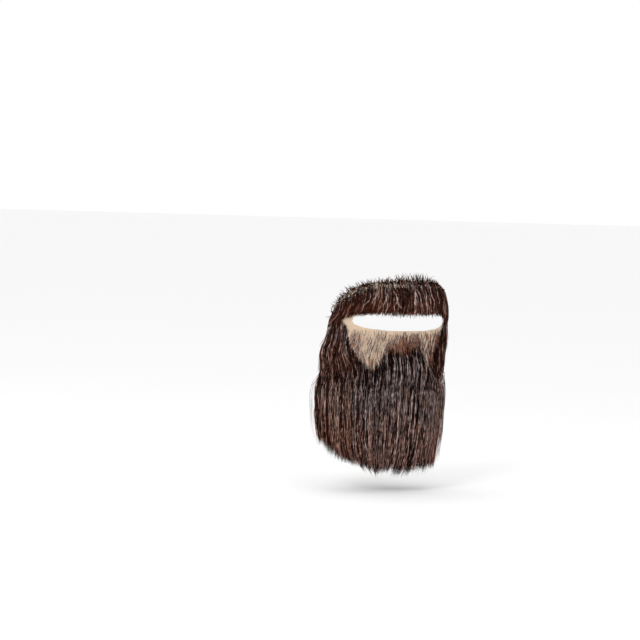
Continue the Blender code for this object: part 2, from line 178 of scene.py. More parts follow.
def skin_points(across, down):
    """Points on the skin side of the lace."""
    across, down = np.broadcast_arrays(np.asarray(across, float), np.asarray(down, float))
    y, z, wrap, tilt = np.moveaxis(smooth(FACE_DOWN, FACE_COLUMNS, down), -1, 0)
    turn = across / wrap
    recess = wrap * (1 - np.cos(turn))
    return np.stack([wrap * np.sin(turn), y + recess * np.cos(tilt), z + recess * np.sin(tilt)], -1)


def skin_normals(across, down):
    """The directions straight out of the skin side, away from the wearer."""
    step = 0.05 * MM
    sideways = skin_points(across + step, down) - skin_points(across - step, down)
    downwards = skin_points(across, down + step) - skin_points(across, down - step)
    normals = np.cross(downwards, sideways)
    return normals / np.linalg.norm(normals, axis=-1, keepdims=True)


def face_points(across, down, out=0.0):
    """Points at a distance out of the skin side."""
    return skin_points(across, down) + np.asarray(out)[..., None] * skin_normals(across, down)


def down_at_height(z):
    """How far down the midline a height is. A height below the turn of the chin gives the turn."""
    last = [r.place for r in FACE].index("chin_turn") + 1
    return np.interp(-np.asarray(z), -FACE_COLUMNS[:last, 1], FACE_DOWN[:last])


def rise(part, whole, power):
    """The share of a superellipse's height that is left at a share of its width."""
    return np.maximum(0.0, 1 - (np.abs(part) / whole) ** power) ** (1 / power)


def edge_top(across):
    return EDGE_MIDDLE - EDGE_UP * rise(across, EDGE_HALF_WIDTH, EDGE_TOP_POWER)


def edge_bottom(across):
    return EDGE_MIDDLE + EDGE_DOWN * rise(across, EDGE_HALF_WIDTH, EDGE_BOTTOM_POWER)


def edge_side(down):
    below = np.asarray(down) > EDGE_MIDDLE
    half_height = np.where(below, EDGE_DOWN, EDGE_UP)
    power = np.where(below, EDGE_BOTTOM_POWER, EDGE_TOP_POWER)
    return np.minimum(EDGE_STRAIGHT, EDGE_HALF_WIDTH * rise(down - EDGE_MIDDLE, half_height, power))


def in_mouth(across, down, margin=0.0):
    """True where a place on the pattern is inside the mouth opening, or nearer to it than the margin."""
    width, height = MOUTH_HALF_WIDTH + margin, MOUTH_HALF_HEIGHT + margin
    beside, above = np.abs(across) / width, np.abs(down - MOUTH_MIDDLE) / height
    return beside**MOUTH_POWER + above**MOUTH_POWER < 1


def on_lace(across, down, margin=0.0):
    """True where a place on the pattern is on the lace, at least the margin from its edges."""
    inside = np.abs(across) < edge_side(down) - margin
    inside &= (down > edge_top(across) + margin) & (down < edge_bottom(across) - margin)
    return inside & ~in_mouth(across, down, margin)


def hang_points(angle, z, back, inset):
    """Points on the outline of the hanging hair, at angles from the midline seen from above."""
    half_width, front, middle, rear = np.moveaxis(smooth(HANG_Z, HANG_COLUMNS, z), -1, 0)
    reach = np.where(back, rear - middle, front - middle)
    x = np.maximum(half_width - inset, 0.0) * np.sin(angle)
    y = middle + np.sign(reach) * np.maximum(np.abs(reach) - inset, 0.0) * np.cos(angle)
    return np.stack([x, y, z], -1)


def ramp(value, low, high):
    """0 below low and 1 above high, with a soft step between."""
    share = np.clip((np.asarray(value, float) - low) / (high - low), 0.0, 1.0)
    return share * share * (3 - 2 * share)


def vary(low, high, count):
    return rng.uniform(low, high, count)


def mixed(number, salt=0.0):
    """A random-looking share from 0 to 1 for each number, the same one each time."""
    turned = np.sin(np.asarray(number, float) * 12.9898 + salt * 78.233) * 43758.5453
    return turned - np.floor(turned)


def clumped(across, down, pitch, row_height=5.0 * MM):
    """How far each hair is from the middle of its clump, and its clump's number."""
    row = np.round(np.asarray(down) / row_height)
    shift = mixed(row, 3.0)
    number = np.round(across / pitch + shift)
    centre = (number - shift + 0.5 * (mixed(number, 1.0) - 0.5)) * pitch
    return centre - across, number + 97 * row


def crimp(travel, number, size, wavelength):
    """The slight waves along each hair, nearly alike in hairs of one clump."""
    count = len(travel)
    length = wavelength * (0.75 + 0.5 * mixed(number, 5.0) + vary(-0.08, 0.08, count))
    phase = 2 * math.pi * mixed(number, 9.0) + vary(-0.6, 0.6, count)
    swing = np.sin(2 * math.pi * travel / length[:, None] + phase[:, None])
    return size * (0.6 + 0.8 * mixed(number, 2.0))[:, None] * swing * np.minimum(1.0, travel / WAVES_FULL)


def new_mesh_object(name, points, loops, counts, uvs=None, values=()):
    """A smooth-shaded mesh object made from arrays. values are pairs of a name and a number a point."""
    mesh = bpy.data.meshes.new(name)
    mesh.vertices.add(len(points))
    mesh.vertices.foreach_set("co", np.asarray(points, np.float32).ravel())
    mesh.loops.add(len(loops))
    mesh.loops.foreach_set("vertex_index", np.asarray(loops, np.int32))
    mesh.polygons.add(len(counts))
    starts = np.concatenate([[0], np.cumsum(counts)[:-1]])
    mesh.polygons.foreach_set("loop_start", starts.astype(np.int32))
    mesh.polygons.foreach_set("use_smooth", np.ones(len(counts), bool))
    mesh.update(calc_edges=True)
    if uvs is not None:
        layer = mesh.uv_layers.new(name="OFBake")
        layer.data.foreach_set("uv", np.asarray(uvs, np.float32).ravel())
    for label, numbers in values:
        attribute = mesh.attributes.new(label, "FLOAT", "POINT")
        attribute.data.foreach_set("value", np.asarray(numbers, np.float32).ravel())
    obj = bpy.data.objects.new(name, mesh)
    bpy.context.scene.collection.objects.link(obj)
    return obj


def strands(name, paths, width, shade, node, material):
    """Hairs as fine closed tubes. paths holds one row of points for each hair, from root to tip.

    Each hair's shade, and how far along it a point is, are attributes for the material. They are its place
    on the UV map too, so hairs of one shade share a strip of it.
    """
    count, stations, _ = paths.shape
    share = np.linspace(0.0, 1.0, stations)
    along = np.gradient(paths, axis=1)
    along /= np.linalg.norm(along, axis=2, keepdims=True) + 1e-12
    outward = paths - np.array([0.0, HAIR_MIDDLE, 0.0])
    outward[..., 2] = 0.0
    side = np.cross(along, outward)
    side /= np.linalg.norm(side, axis=2, keepdims=True) + 1e-12
    front = np.cross(side, along)
    thins = 1.0 - 0.6 * ramp(share, 0.6, 1.0)
    thins[-1] = TIP_WIDTH
    radius = width[:, None] / 2 * thins
    turn = vary(0, 2 * math.pi, count)[:, None]
    ring = []
    for k in range(STRAND_SIDES):
        angle = turn + 2 * math.pi * k / STRAND_SIDES
        sideways, forwards = np.cos(angle) * radius, np.sin(angle) * radius
        ring.append(paths + side * sideways[..., None] + front * forwards[..., None])
    points = np.stack(ring, 2).reshape(-1, 3)

    first = (np.arange(count) * stations * STRAND_SIDES)[:, None, None]
    level = first + (np.arange(stations - 1) * STRAND_SIDES)[None, :, None]
    k = np.arange(STRAND_SIDES)[None, None, :]
    beside = (k + 1) % STRAND_SIDES
    below = level + STRAND_SIDES
    walls = np.stack([level + k, level + beside, below + beside, below + k], -1).reshape(-1)
    root, tip = first[:, 0], first[:, 0] + (stations - 1) * STRAND_SIDES
    caps = np.concatenate([root + [0, 2, 1], tip + [0, 1, 2]])

    left = ((np.clip(shade * SHADES, 0, SHADES - 1).astype(int) + 0.1) / SHADES)[:, None, None]
    step = 0.8 / SHADES / STRAND_SIDES
    up = (0.02 + 0.96 * share)[None, :, None]
    near = left + step * k + 0 * up[:, :-1]
    far = near + step
    low, high = up[:, :-1] + 0 * near, up[:, 1:] + 0 * near
    wall_uv = np.stack([near, low, far, low, far, high, near, high], -1).reshape(-1, 2)
    cap = np.array([[0.0, 0.0], [0.4, 0.0], [0.2, 0.4]])
    start = np.stack([left[:, 0], 0 * left[:, 0]], -1)
    cap_uv = [(start + cap * [1 / SHADES, 0.02] + [0, height]).reshape(-1, 2) for height in (0.0, 0.99)]

    loops = np.concatenate([walls, caps.ravel()])
    counts = np.concatenate([np.full(len(walls) // 4, 4), np.full(2 * count, 3)])
    everywhere = np.ones((count, stations, STRAND_SIDES))
    values = (("shade", everywhere * shade[:, None, None]), ("along", everywhere * share[None, :, None]))
    piece = new_mesh_object(name, points, loops, counts, np.concatenate([wall_uv, *cap_uv]), values)
    piece.data.materials.append(material)
    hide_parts(node)
    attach(piece, "root")


# The hair is dense below this line. Above it, under the mouth, are only thin short hairs. Across from the
# midline, and down from under the nose. Millimetres.
PlaceRow = namedtuple("PlaceRow", "across down")
DENSE_EDGE = (
    PlaceRow(-44.0, 24.0),
    PlaceRow(-39.5, 28.0),
    PlaceRow(-37.0, 35.5),
    PlaceRow(-32.5, 43.0),
    PlaceRow(-27.0, 51.0),
    PlaceRow(-23.0, 56.0),
    PlaceRow(-19.5, 57.5),
    PlaceRow(-15.5, 55.5),
    PlaceRow(-12.0, 49.5),
    PlaceRow(-9.0, 45.0),
    PlaceRow(-5.0, 43.0),
    PlaceRow(6.0, 42.0),
    PlaceRow(12.0, 44.0),
    PlaceRow(16.0, 48.0),
    PlaceRow(18.5, 53.5),
    PlaceRow(21.0, 57.0),
    PlaceRow(26.5, 55.5),
    PlaceRow(31.0, 51.0),
    PlaceRow(33.0, 44.0),
    PlaceRow(34.5, 36.0),
    PlaceRow(36.0, 24.0),
)
DENSE_COLUMNS = np.array(DENSE_EDGE).T * MM

# The trimmed lower end of the upper lip's hair. Millimetres.
CUT_EDGE = (
    PlaceRow(-44.0, 30.5),
    PlaceRow(-40.5, 29.0),
    PlaceRow(-38.5, 24.5),
    PlaceRow(-33.5, 22.2),
    PlaceRow(-27.0, 21.0),
    PlaceRow(-18.0, 20.7),
    PlaceRow(-8.0, 21.4),
    PlaceRow(5.0, 21.0),
    PlaceRow(16.0, 20.4),
    PlaceRow(26.0, 21.2),
    PlaceRow(30.5, 23.0),
    PlaceRow(33.0, 27.5),
    PlaceRow(38.0, 31.0),
)
CUT_COLUMNS = np.array(CUT_EDGE).T * MM

# Hairs are rooted a little out of the skin side, and a little in from the lace's edges
HAIR_OUT = 0.9 * MM
ROOT_MARGIN = 0.5 * MM

# The width of a clump of hairs in each part, and of a point that neighbouring tips draw together into
MOUSTACHE_CLUMP = 1.9 * MM
SIDE_CLUMP = 2.1 * MM
SHORT_CLUMP = 1.6 * MM
FRONT_CLUMP = 1.4 * MM
BACK_CLUMP = 2.2 * MM
FRONT_POINT = 1.7 * MM
BACK_POINT = 3.0 * MM

# How long a hair's waves are above the chin and behind it, and where they reach their full size
UPPER_WAVE = 8.0 * MM
BACK_WAVE = 11.0 * MM
WAVES_FULL = 5.0 * MM

# The shortest and longest hairs of two parts in millimetres, and how far across the first ones reach
MOUSTACHE_LENGTHS = (10.0, 20.0)
SIDE_LENGTHS = (15.0, 30.0)
MOUSTACHE_REACH = 51.0 * MM

# How far the beard's front stands off the lace: under the mouth, and how much more at the chin
FRONT_OUT = 4.6 * MM
FRONT_OUT_MORE = 2.2 * MM

# The hair seen from above: the radius of the lace's curve at the chin and of the hair's outer surface
# there, and the half width and the mean radius of the hair that hangs below
CHIN_WRAP = 44.0 * MM
CHIN_HAIR_RADIUS = 49.0 * MM
HANG_HALF_WIDTH = 44.2 * MM
HANG_RADIUS = 44.0 * MM

# Below this height the hair on the wearer's left keeps more of its width
WIDE_HEIGHT = -47.0 * MM

# Where the beard is cut: its lowest height, and how much higher the cut is at each end
CUT_HEIGHT = -61.5 * MM
CUT_RISE_RIGHT = 16.0 * MM
CUT_RISE_LEFT = 9.0 * MM

# The hair beside the mouth is further from the midline than this
SIDE_START = 19.0 * MM

# Hairs keep this gap from the face down to this height, where they are rooted above this place
FACE_GAP = 1.6 * MM
FACE_LOW = -10.0 * MM
FACE_ROOTS = 63.0 * MM

# Hairs under the chin are rooted to this far across. They turn back to this place, or at least by this
# distance, as fast as the slope of the lace at their roots lets them, and no steeper than this.
UNDER_HALF_WIDTH = 46.0 * MM
BACK_PLACE = 36.0 * MM
LEAST_TURN = 8.0 * MM
STEEPEST_TURN = 4.0


def dense_edge(across):
    return np.interp(across, *DENSE_COLUMNS)


def below_top(across, down):
    """How far a place is below the lace's top edge."""
    return down - edge_top(across)


def edge_outward(across, down):
    """The direction straight out of the lace's top edge on the pattern, as shares across and up."""
    sideways = np.sign(across) * (np.abs(across) / EDGE_HALF_WIDTH) ** (EDGE_TOP_POWER - 1) / EDGE_HALF_WIDTH
    up = (np.maximum(EDGE_MIDDLE - down, 0.0) / EDGE_UP) ** (EDGE_TOP_POWER - 1) / EDGE_UP
    size = np.hypot(sideways, up) + 1e-9
    return sideways / size, up / size


def roots_where(layer, wanted):
    """Random places on the lace in a layer's ranges, kept with the chance that wanted gives for each."""
    tries = 4 * layer.count
    across, down = np.empty(0), np.empty(0)
    while len(across) < layer.count:
        more_across = vary(*np.multiply(layer.across, MM), tries)
        more_down = vary(*np.multiply(layer.down, MM), tries)
        chance = wanted(more_across, more_down) * on_lace(more_across, more_down, ROOT_MARGIN)
        kept = rng.random(tries) < chance
        across, down = np.append(across, more_across[kept]), np.append(down, more_down[kept])
    return across[: layer.count], down[: layer.count]


def stations_of(count):
    return np.linspace(0.0, 1.0, count)[None, :]


def column(values):
    return values[:, None]


def moustache_paths(across, down, layer, strays=0.0):
    """Hairs of the upper lip: they stand out from the lace, bend down and end in a trimmed line."""
    count = len(across)
    share = stations_of(layer.stations)
    outer = ramp(np.abs(across), 31 * MM, 43 * MM)
    line = np.interp(across, *CUT_COLUMNS) + rng.normal(0, 0.9 * MM, count)
    length = np.minimum(widths(*MOUSTACHE_LENGTHS, count), np.maximum(line - down, 2.0 * MM))
    splay = 0.012 * across * (length / MM) + rng.normal(0, 0.7 * MM, count)
    splay = splay + strays * rng.normal(0, 2.5 * MM, count)
    off, number = clumped(across, down, MOUSTACHE_CLUMP, 4 * MM)
    bend = column(splay) * share**1.4 + column(off * vary(0.3, 0.8, count)) * ramp(share, 0.1, 0.8)
    travel = column(length) * share
    near_top = 1 - ramp(below_top(across, down), 0.5 * MM, 6 * MM)
    hook = (1.0 + 2.2 * near_top * (1 + np.exp(-((across / (14 * MM)) ** 2)))) * MM * vary(0.4, 1.15, count)
    hook = hook * upright(across)
    rises = column(hook) * np.sin(math.pi * np.minimum(1.0, 2.2 * share))
    sideways, up = edge_outward(across, down)
    waves = crimp(travel, number, layer.wave * MM, UPPER_WAVE)
    path_across = column(across) + bend + waves + rises * column(sideways)
    path_across = np.clip(path_across, -MOUSTACHE_REACH, MOUSTACHE_REACH)
    path_down = column(down) + travel - rises * column(up)
    reach = 1 - 0.35 * outer - 0.45 * outer * (across > 0)
    lift = np.minimum(3.7 * MM, 0.8 * MM + 0.21 * length) * (vary(0.6, 1.1, count) + 0.5 * strays) * reach
    out = HAIR_OUT + column(lift) * share**0.6 * (1.12 - 0.45 * share**2)
    return face_points(path_across, path_down, out)


def upright(across):
    """How far the hairs of the top edge stand up: less towards the wearer's left."""
    return 1 - 0.8 * ramp(across, 15 * MM, 32 * MM)


def spike_paths(across, down, layer, length, lift):
    """Short stiff hairs that point outwards over the lace's top edge."""
    count = len(across)
    share = stations_of(layer.stations)
    sideways, up = edge_outward(across, down)
    tall = upright(across) * (1 + 0.65 * np.exp(-(((across - 3 * MM) / (14 * MM)) ** 2)))
    length, lift = length * tall, lift * upright(across)
    lean = rng.normal(0, 0.45, count)
    path_across = column(across) + column(length * (sideways + lean * up)) * share
    path_down = column(down) - column(length * (up - lean * sideways)) * share**1.3
    return face_points(path_across, path_down, HAIR_OUT + column(lift) * share)


def hang_angle(across):
    """The angle on the hanging hair's outline at which hair rooted there falls straight down."""
    return np.arcsin(np.clip(CHIN_HAIR_RADIUS / HANG_HALF_WIDTH * np.sin(across / CHIN_WRAP), -1.0, 1.0))


def front_points(across, bend, z, inset):
    """Points on the front of the beard below the mouth, at a depth under its outer surface."""
    out = FRONT_OUT + FRONT_OUT_MORE * ramp(-z, -20 * MM, 6 * MM) - inset
    lying = face_points(across + bend, down_at_height(z), np.maximum(out, HAIR_OUT))
    angle = hang_angle(across)
    wide = 0.75 * ramp(angle, -0.2, 0.9)
    hung_z = z - wide * np.minimum(z - WIDE_HEIGHT, 0.0)
    hung = hang_points(angle + bend / HANG_RADIUS, hung_z, False, inset)
    hung[..., 2] = z
    free = ramp(-z, -6 * MM, 14 * MM)[..., None]
    return lying + (hung - lying) * free


def clear_of_face(paths):
    """Moves points that are inside the face above the turn of the chin out to a small gap from it."""
    rows = smooth(FACE_DOWN, FACE_COLUMNS, down_at_height(paths[..., 2]))
    middle, radius = rows[..., 0] + rows[..., 2], rows[..., 2] + FACE_GAP
    x, y = paths[..., 0], paths[..., 1] - middle
    reach = np.hypot(x, y) + 1e-9
    larger = np.where(paths[..., 2] > FACE_LOW, np.maximum(1.0, radius / reach), 1.0)
    return np.stack([x * larger, middle + y * larger, paths[..., 2]], -1)


def side_edges(sign, down):
    """The inner and outer edge of the hair beside the mouth, on one side."""
    across, low = DENSE_COLUMNS
    rows = [k for k in np.argsort(low) if sign * across[k] > SIDE_START]
    inner = np.interp(down, low[rows], np.abs(across[rows]))
    return inner, edge_side(down) - ROOT_MARGIN


def side_paths(sign, across, down, layer, inset):
    """Hairs beside the mouth, which run down onto the chin's hair. across is outwards from the midline."""
    count = len(across)
    share = stations_of(layer.stations)
    length = widths(*SIDE_LENGTHS, count)
    inner, outer = side_edges(sign, down)
    place = (across - inner) / (outer - inner)
    end_inner, end_outer = side_edges(sign, down + length)
    drift = (end_inner + (end_outer - end_inner) * place - across) * 0.5
    off, number = clumped(across, down, SIDE_CLUMP)
    bend = column(drift + rng.normal(0, 0.8 * MM, count)) * share**1.2
    bend = bend + column(off * vary(0.3, 0.8, count)) * ramp(share, 0.05, 0.6)
    travel = column(length) * share
    bend = bend + crimp(travel, number, layer.wave * MM, UPPER_WAVE)
    root = skin_points(across, down)
    z = root[:, None, 2] - travel
    fullness = (2.8 if sign > 0 else 0.8) * MM * np.exp(-(((z - 15 * MM) / (9 * MM)) ** 2))
    on_lace_there = face_points(column(across) + bend, down_at_height(z), HAIR_OUT)
    outer_form = front_points(column(across), bend, z, column(inset) - fullness)
    leaves = (0.12 + 0.88 * share**0.7)[..., None]
    paths = clear_of_face(on_lace_there + (outer_form - on_lace_there) * leaves)
    paths[..., 0] *= sign
    return paths


def chin_tips(angle):
    """The height at which the beard is cut, at an angle from the midline."""
    side = np.sin(angle)
    right_rise, left_rise = CUT_RISE_RIGHT * np.abs(side) ** 4.2, CUT_RISE_LEFT * np.abs(side) ** 6
    return CUT_HEIGHT + np.where(side < 0, right_rise, left_rise)


def tip_bend(across, off, share, pitch):
    """How the hairs of neighbouring clumps draw together into points at their tips."""
    tip_off, number = clumped(across + 0.6 * off, 0 * across, pitch)
    return column(0.75 * tip_off) * share**7, number


def chin_front_paths(across, down, layer, wavelength, inset):
    """The long hairs rooted on the front of the chin, which hang to the trimmed end of the beard."""
    count = len(across)
    share = stations_of(layer.stations) ** 0.92
    root = face_points(across, down, HAIR_OUT)
    off, number = clumped(across, down, FRONT_CLUMP)
    gather, tip_number = tip_bend(across, off, share, FRONT_POINT)
    uneven = rng.normal(0, 1.5 * MM, count) + 4.4 * MM * (mixed(tip_number, 6.0) - 0.5)
    tip = chin_tips(hang_angle(across)) + uneven + vary(0, 1, count) ** 4 * 22 * MM
    travel = column(root[:, 2] - tip) * share
    z = root[:, 2:] - travel
    bend = gather + column(off * vary(0.2, 0.7, count)) * ramp(share, 0.04, 0.4)
    bend = bend + column(rng.normal(0, 0.8 * MM, count)) * share
    bend = bend + crimp(travel, number, layer.wave * MM, wavelength)
    deep = np.maximum(inset + column(0.45 * MM * (mixed(number, 4.0) - 0.5)), -3.5 * MM)
    outer_form = front_points(column(across), bend, z, deep)
    start = root[:, None, :] + outer_form - outer_form[:, :1]
    leaves = ramp(travel, -1 * MM, 8 * MM)[..., None]
    paths = start + (outer_form - start) * leaves
    return np.where((down < FACE_ROOTS)[:, None, None], clear_of_face(paths), paths)


def chin_back_paths(across, down, layer, inset):
    """The long hairs rooted under the chin, which hang behind the front ones."""
    count = len(across)
    share = stations_of(layer.stations) ** 1.6
    root = face_points(across, down, HAIR_OUT)
    angle = across / UNDER_HALF_WIDTH * math.radians(90.0)
    off, number = clumped(across, down, BACK_CLUMP)
    gather, tip_number = tip_bend(across, off, share, BACK_POINT)
    uneven = rng.normal(0, 1.2 * MM, count) + 3.6 * MM * (mixed(tip_number, 6.0) - 0.5)
    tip = chin_tips(angle) + 3 * MM + uneven + vary(0, 1, count) ** 4 * 18 * MM
    travel = column(root[:, 2] - tip) * share
    z = root[:, 2:] - travel
    bend = gather + column(off * vary(0.3, 0.85, count)) * ramp(share, 0.04, 0.4)
    bend = bend + column(rng.normal(0, 0.9 * MM, count)) * share
    bend = bend + crimp(travel, number, layer.wave * MM, BACK_WAVE)
    hung = hang_points(angle[:, None] + bend / HANG_RADIUS, z, True, column(inset))
    falls = np.concatenate([np.repeat(root[:, None, :2], layer.stations, 1), z[..., None]], -1)
    out = skin_normals(across, down)
    lace_slope = out[:, 2] / np.minimum(out[:, 1], -0.05)
    slope = np.clip(0.6 * lace_slope, 0.1, STEEPEST_TURN)
    turn_length = np.maximum(BACK_PLACE - root[:, 1], LEAST_TURN) / slope
    leaves = 1 - np.exp(-travel / column(turn_length))
    return falls + (hung - falls) * leaves[..., None]


def chin_inner_paths(across, down, layer):
    """The hairs between the front ones and the back ones, which fall straight down."""
    count = len(across)
    share = stations_of(layer.stations)
    root = face_points(across, down, HAIR_OUT)
    angle = np.arcsin(np.clip(root[:, 0] / HANG_RADIUS, -1.0, 1.0))
    tip = chin_tips(angle) + 2 * MM + vary(0, 1, count) ** 2 * 9 * MM
    travel = column(root[:, 2] - tip) * share
    sway = rng.normal(0, 1.2 * MM, (count, 2))[:, None, :] * share[..., None]
    return np.concatenate([root[:, None, :2] + sway, (root[:, 2:] - travel)[..., None]], -1)


def short_paths(across, down, layer, length, lift):
    """Short thin hairs that lie almost flat on the lace."""
    count = len(across)
    share = stations_of(layer.stations)
    off, _ = clumped(across, down, SHORT_CLUMP, 4 * MM)
    bend = column(rng.normal(0, 0.9 * MM, count)) * share**1.4 + column(0.4 * off) * share
    path_down = down[:, None] + column(length) * share
    return face_points(across[:, None] + bend, path_down, HAIR_OUT + column(lift) * share**0.8)


# Materials


def material_named(name):
    made = bpy.data.materials.new(name)
    made.use_nodes = True
    nodes = made.node_tree.nodes
    return made, nodes, made.node_tree.links, nodes["Principled BSDF"]


def colour_ramp(nodes, stops):
    node = nodes.new("ShaderNodeValToRGB")
    ramp_data = node.color_ramp
    while len(ramp_data.elements) < len(stops):
        ramp_data.elements.new(0.5)
    for element, (place, colour) in zip(ramp_data.elements, stops):
        element.position = place
        element.color = (*colour, 1.0)
    return node


# Tones from the darkest hair to the lightest, and those of the other materials with their places. The
# lightest hair tones, most of all the pale grey cool one, are partly painted sheen.
COOL_TONES = ((0.003, 0.0010, 0.0008), (0.011, 0.0046, 0.0042), (0.46, 0.378, 0.372))
WARM_TONES = ((0.008, 0.0022, 0.0013), (0.062, 0.0200, 0.0125), (0.39, 0.265, 0.212))
THIN_TONES = ((0.055, 0.0210, 0.0140), (0.145, 0.0650, 0.0440), (0.34, 0.195, 0.1400))
# Darker at the root, lighter and warmer at the tip: the tip is painted light shining through thin hair
ROOT_DARK_TIP_LIT_TINTS = ((0.0, (0.85, 0.80, 0.80)), (0.3, (1.0, 1.0, 1.0)), (1.0, (1.40, 1.05, 0.92)))
LACE_TONES = ((0.3, (0.72, 0.475, 0.25)), (0.7, (0.84, 0.565, 0.32)))
KNOT_TONES = ((0.3, (0.030, 0.015, 0.010)), (0.7, (0.075, 0.040, 0.028)))
UNDERCOAT_TONES = ((0.3, (0.006, 0.003, 0.002)), (0.75, (0.030, 0.015, 0.011)))


def hair_material(name, cool, warm):
    """Hair that takes its tone from its shade, and warms and lightens towards its tip as painted light
    through the thin tips.
    """
    made, nodes, links, shader = material_named(name)
    shade, reached = nodes.new("ShaderNodeAttribute"), nodes.new("ShaderNodeAttribute")
    shade.attribute_name, reached.attribute_name = "shade", "along"
    stops = [(0.5 * k, tone) for k, tone in zip((0.0, 0.45, 0.995), cool)]
    stops += [(0.5 + 0.5 * k, tone) for k, tone in zip((0.005, 0.45, 1.0), warm)]
    tint = colour_ramp(nodes, stops)
    links.new(shade.outputs["Fac"], tint.inputs["Fac"])
    along = colour_ramp(nodes, ROOT_DARK_TIP_LIT_TINTS)
    links.new(reached.outputs["Fac"], along.inputs["Fac"])
    place = nodes.new("ShaderNodeTexCoord")
    noise = nodes.new("ShaderNodeTexNoise")
    noise.inputs["Scale"].default_value = 380.0
    noise.inputs["Detail"].default_value = 3.0
    links.new(place.outputs["Object"], noise.inputs["Vector"])
    # The noise brightens and darkens short stretches of each hair: partly random tone, partly painted glints
    uneven = nodes.new("ShaderNodeMapRange")
    for label, value in (("From Min", 0.34), ("From Max", 0.66), ("To Min", 0.30), ("To Max", 1.80)):
        uneven.inputs[label].default_value = value
    links.new(noise.outputs["Fac"], uneven.inputs["Value"])
    first = nodes.new("ShaderNodeVectorMath")
    first.operation = "MULTIPLY"
    links.new(tint.outputs["Color"], first.inputs[0])
    links.new(along.outputs["Color"], first.inputs[1])
    second = nodes.new("ShaderNodeVectorMath")
    second.operation = "SCALE"
    links.new(first.outputs["Vector"], second.inputs[0])
    links.new(uneven.outputs["Result"], second.inputs["Scale"])
    links.new(second.outputs["Vector"], shader.inputs["Base Color"])
    shader.inputs["Roughness"].default_value = 0.45
    shader.inputs["Specular IOR Level"].default_value = 0.03
    return made


def speckled_material(name, stops, scale, roughness, stretch=None):
    """A material whose tint varies with noise. stretch gives the noise a scale along each axis."""
    made, nodes, links, shader = material_named(name)
    place = nodes.new("ShaderNodeTexCoord").outputs["Object"]
    if stretch:
        mapping = nodes.new("ShaderNodeMapping")
        mapping.inputs["Scale"].default_value = stretch
        links.new(place, mapping.inputs["Vector"])
        place = mapping.outputs["Vector"]
    noise = nodes.new("ShaderNodeTexNoise")
    noise.inputs["Scale"].default_value = scale
    links.new(place, noise.inputs["Vector"])
    tint = colour_ramp(nodes, stops)
    links.new(noise.outputs["Fac"], tint.inputs["Fac"])
    links.new(tint.outputs["Color"], shader.inputs["Base Color"])
    shader.inputs["Roughness"].default_value = roughness
    return made


def net_material():
    return speckled_material("lace_thread", LACE_TONES, 160.0, 0.75)


def knot_material():
    return speckled_material("knot_brown", KNOT_TONES, 500.0, 0.6)


def undercoat_material():
    return speckled_material("undercoat_brown", UNDERCOAT_TONES, 1.0, 0.8, stretch=(900.0, 900.0, 40.0))


# The lace: a flat net of six-sided holes

NET_PITCH = 0.80 * MM
NET_THREAD = 0.44 * MM
NET_OUT = 0.7 * MM
LACE_CUT = (104.0 * MM, 95.0 * MM)
NET_HEIGHT = 100.0 * MM
NET_HALF_WIDTH = 54.0 * MM
NET_MARGIN = 0.1 * MM
SAME_JOINT = 0.02 * MM


def net_lines():
    """The net's joints as places on the pattern, and the joints and direction of each thread.

    A thread leaves its first joint straight up the pattern, or turned from there by 120 or 240 degrees.
    """
    side = NET_PITCH / math.sqrt(3)
    places, threads = {}, set()

    def number(across, down):
        key = (round(across / SAME_JOINT), round(down / SAME_JOINT))
        return places.setdefault(key, (len(places), across, down))[0]

    rows = int(NET_HEIGHT / (1.5 * side)) + 1
    columns = int(NET_HALF_WIDTH / NET_PITCH) + 1
    for row in range(rows):
        for cell in range(-columns, columns + 1):
            across = (cell + 0.5 * (row % 2)) * NET_PITCH
            down = row * 1.5 * side
            top = number(across, down - side)
            threads.add((top, number(across, down - 2 * side), 0))
            threads.add((top, number(across + NET_PITCH / 2, down - side / 2), 1))
            threads.add((top, number(across - NET_PITCH / 2, down - side / 2), 2))
    table = np.array([(across, down) for _, across, down in places.values()])
    threads = np.array(sorted(threads))
    kept = on_lace(table[:, 0], table[:, 1], NET_MARGIN)
    return table, threads[kept[threads[:, 0]] & kept[threads[:, 1]]]


def lace_net(material):
    """The lace as flat threads with a small triangle at each joint where three of them meet."""
    table, threads = net_lines()
    start, end, turn = threads.T
    used = np.unique(np.concatenate([start, end]))
    leaves_up = np.zeros(len(table), bool)
    leaves_up[start] = True
    angles = np.radians(np.where(leaves_up[:, None], [60, 180, 300], [0, 120, 240]))
    reach = NET_THREAD / math.sqrt(3)
    across = table[:, :1] + reach * np.sin(angles)
    down = table[:, 1:] - reach * np.cos(angles)
    points = face_points(across, down, np.full(across.shape, NET_OUT)).reshape(-1, 3)
    joints = 3 * used[:, None] + [0, 1, 2]
    before, after = (turn + 2) % 3, (turn + 1) % 3
    sides = [3 * start + before, 3 * start + turn, 3 * end + after, 3 * end + before]
    loops = np.concatenate([joints.ravel(), np.stack(sides, 1).ravel()])
    counts = np.append(np.full(len(joints), 3), np.full(len(threads), 4))
    flat = np.stack([across / LACE_CUT[0] + 0.5, down / LACE_CUT[1]], -1).reshape(-1, 2)
    shown = np.unique(loops)
    renumber = np.zeros(len(points), int)
    renumber[shown] = np.arange(len(shown))
    piece = new_mesh_object("lace_net", points[shown], renumber[loops], counts, flat[loops])
    piece.data.materials.append(material)
    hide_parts("lace_base")
    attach(piece, "root")


def knots(name, across, down, size, node, slot, material):
    """The small dark knots that tie the hairs to the net."""
    centre = face_points(across, down, HAIR_OUT)
    reach = np.array([[1, 0, 0], [-1, 0, 0], [0, 1, 0], [0, -1, 0], [0, 0, 1], [0, 0, -1]], float)
    points = (centre[:, None, :] + size[:, None, None] * reach).reshape(-1, 3)
    faces = np.array(
        [[0, 2, 4], [2, 1, 4], [1, 3, 4], [3, 0, 4], [2, 0, 5], [1, 2, 5], [3, 1, 5], [0, 3, 5]]
    )
    loops = ((np.arange(len(across)) * 6)[:, None, None] + faces).ravel()
    piece = new_mesh_object(name, points, loops, np.full(len(across) * 8, 3))
    piece.data.materials.append(material)
    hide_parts(node)
    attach(piece, "root")


